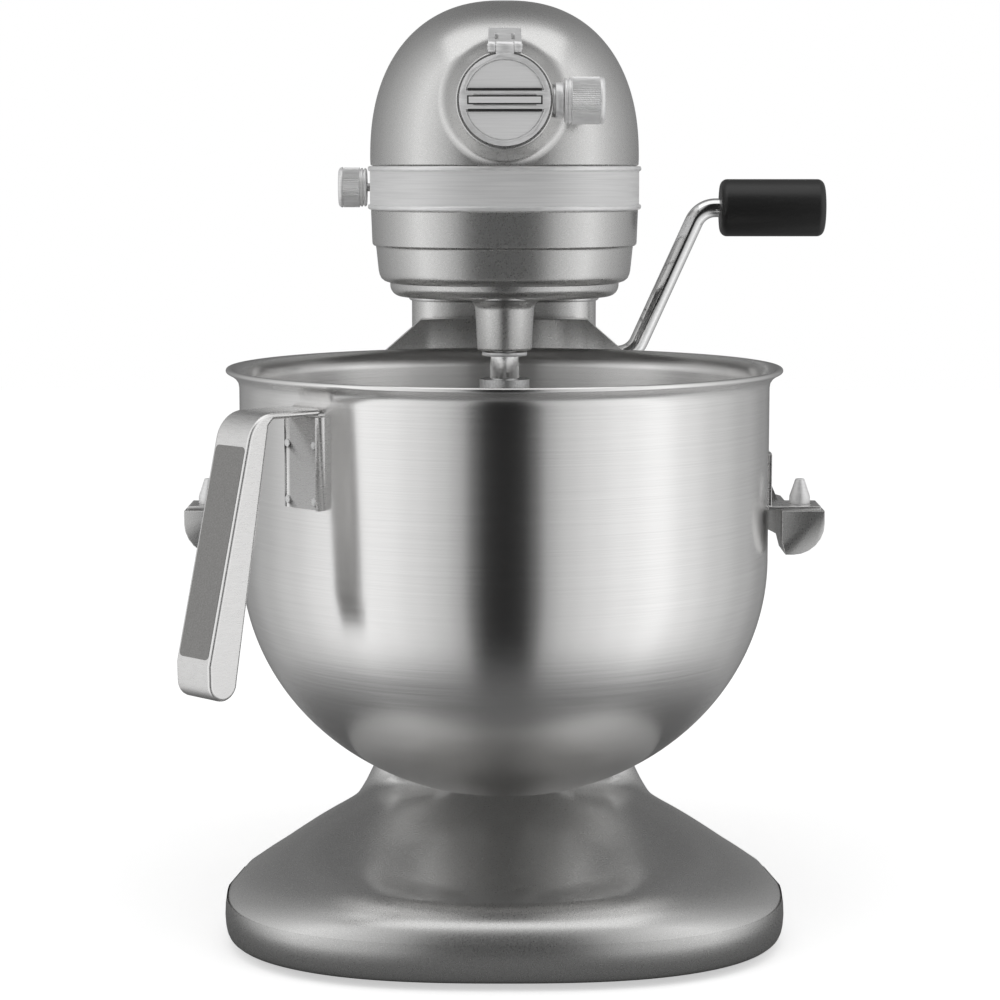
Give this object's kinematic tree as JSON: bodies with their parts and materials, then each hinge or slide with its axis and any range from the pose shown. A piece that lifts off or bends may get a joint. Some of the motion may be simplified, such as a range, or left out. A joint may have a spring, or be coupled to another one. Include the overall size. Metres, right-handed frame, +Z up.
{
  "type": "stand mixer",
  "caption": "Bowl-lift stand mixer with a domed head, hinged hub cover, lifting yoke with side lever, planetary beater drive and handled steel bowl.",
  "frame": {"origin": "on the resting plane, under the centre foot, on the axis of the bowl and the planetary drive", "axes": "+Z up, +Y from the bowl towards the column, +X towards the lift lever"},
  "size_m": [0.3079, 0.3843, 0.417],
  "materials": {
    "silver_paint": "satin metallic silver paint",
    "bowl_steel": "fine horizontal brushing",
    "bright_trim": "satin chrome",
    "polished_rod": "polished",
    "black_grip": "satin moulded",
    "rubber": "matt",
    "black_plastic": "matt",
    "steel_screws": "machined",
    "gear_steel": "oiled",
    "bronze": "sintered bronze",
    "cast_aluminium": "cast"
  },
  "bodies": {
    "stand": {"base_casting": "silver_paint", "base_cover": "black_plastic", "rubber_feet": "rubber", "column_bolts": "steel_screws", "column_casting": "silver_paint", "neck_screws": "steel_screws", "lower_housing": "silver_paint", "upper_housing": "silver_paint", "trim_band": "bright_trim", "rear_cover": "silver_paint", "rear_cover_screw": "steel_screws", "cord_gland": "rubber", "hub_barrel": "cast_aluminium", "hub_hinge_bracket": "bright_trim", "hub_hinge_pin": "bright_trim", "hub_screw_collar": "bright_trim", "ring_gear": "gear_steel", "gear_frame": "cast_aluminium", "drive_bushes": "bronze", "motor_can": "cast_aluminium", "motor_bearings": "steel_screws", "motor_cradle": "cast_aluminium", "control_board": "black_plastic", "lever_bush": "rubber"},
    "yoke": {"yoke": "silver_paint", "locating_pins": "bright_trim", "latch_spring": "steel_screws", "lift_bracket": "steel_screws"},
    "lever": {"lever_rod": "polished_rod", "lever_grip": "black_grip", "lift_crank": "steel_screws"},
    "bowl": {"bowl": "bowl_steel", "bowl_brackets": "bowl_steel", "handle_bracket": "bowl_steel", "bowl_handle": "bowl_steel", "bowl_studs": "bright_trim"},
    "planetary": {"planetary_housing": "silver_paint", "planet_bushes": "bronze", "centre_shaft": "steel_screws", "centre_gear": "gear_steel", "centre_bevel": "gear_steel"},
    "beater": {"beater_shaft": "polished_rod", "shaft_washer": "bright_trim", "beater_pin": "steel_screws", "flat_beater": "cast_aluminium", "planet_pinion": "gear_steel"},
    "hub_drive": {"hub_bevel": "gear_steel", "hub_drive_shaft": "steel_screws"},
    "countershaft": {"intermediate_shaft": "steel_screws", "drive_pinion": "gear_steel", "worm_wheel": "bronze"},
    "rotor": {"motor_shaft": "steel_screws", "worm": "steel_screws", "rotor_core": "gear_steel", "fan": "black_plastic"},
    "hub_cover": {"hub_cover": "bright_trim"},
    "hub_screw": {"hub_screw_stem": "steel_screws"},
    "hub_knob": {"hub_knob": "bright_trim"},
    "speed_control": {"speed_knob": "bright_trim", "speed_lever": "steel_screws"}
  },
  "joints": [
    {"name": "yoke_slide", "type": "slide", "parent": "stand", "child": "yoke", "axis": [0, 0, -1], "range_m": [0, 0.03]},
    {"name": "lever_turn", "type": "hinge", "parent": "stand", "child": "lever", "pos_m": [0.05, 0.1652, 0.248], "axis": [-1, 0, 0], "range_deg": [0, 95]},
    {"name": "bowl_lift_off", "type": "slide", "parent": "yoke", "child": "bowl", "axis": [0, 0, 1], "range_m": [0, 0.012]},
    {"name": "planetary_spin", "type": "hinge", "parent": "stand", "child": "planetary", "pos_m": [0, 0, 0.293], "axis": [0, 0, 1], "continuous": true},
    {"name": "beater_spin", "type": "hinge", "parent": "planetary", "child": "beater", "pos_m": [0, -0.032, 0.29], "axis": [0, 0, 1], "continuous": true},
    {"name": "hub_drive_spin", "type": "hinge", "parent": "stand", "child": "hub_drive", "pos_m": [0, -0.03, 0.371], "axis": [0, 1, 0], "continuous": true},
    {"name": "countershaft_spin", "type": "hinge", "parent": "stand", "child": "countershaft", "pos_m": [-0.024, 0.045, 0.33], "axis": [0, 0, 1], "continuous": true},
    {"name": "motor_spin", "type": "hinge", "parent": "stand", "child": "rotor", "pos_m": [0, 0.1, 0.352], "axis": [0, 1, 0], "continuous": true},
    {"name": "hub_cover_hinge", "type": "hinge", "parent": "stand", "child": "hub_cover", "pos_m": [0, -0.0982, 0.39265], "axis": [-1, 0, 0], "range_deg": [0, 105]},
    {"name": "hub_screw_slide", "type": "slide", "parent": "stand", "child": "hub_screw", "axis": [1, 0, 0], "range_m": [0, 0.003]},
    {"name": "hub_knob_turn", "type": "hinge", "parent": "hub_screw", "child": "hub_knob", "pos_m": [0.03, -0.0875, 0.371], "axis": [1, 0, 0], "range_deg": [0, 720]},
    {"name": "speed_slide", "type": "slide", "parent": "stand", "child": "speed_control", "axis": [0, 1, 0], "range_m": [0, 0.045]}
  ],
  "couplings": [
    {"joint": "lever_turn", "follows": "yoke_slide", "rad_per_m": 55.26},
    {"joint": "beater_spin", "follows": "planetary_spin", "ratio": -3},
    {"joint": "hub_drive_spin", "follows": "planetary_spin", "ratio": -1},
    {"joint": "countershaft_spin", "follows": "planetary_spin", "ratio": -3},
    {"joint": "motor_spin", "follows": "planetary_spin", "ratio": -60},
    {"joint": "hub_knob_turn", "follows": "hub_screw_slide", "rad_per_m": 4188.8}
  ]
}
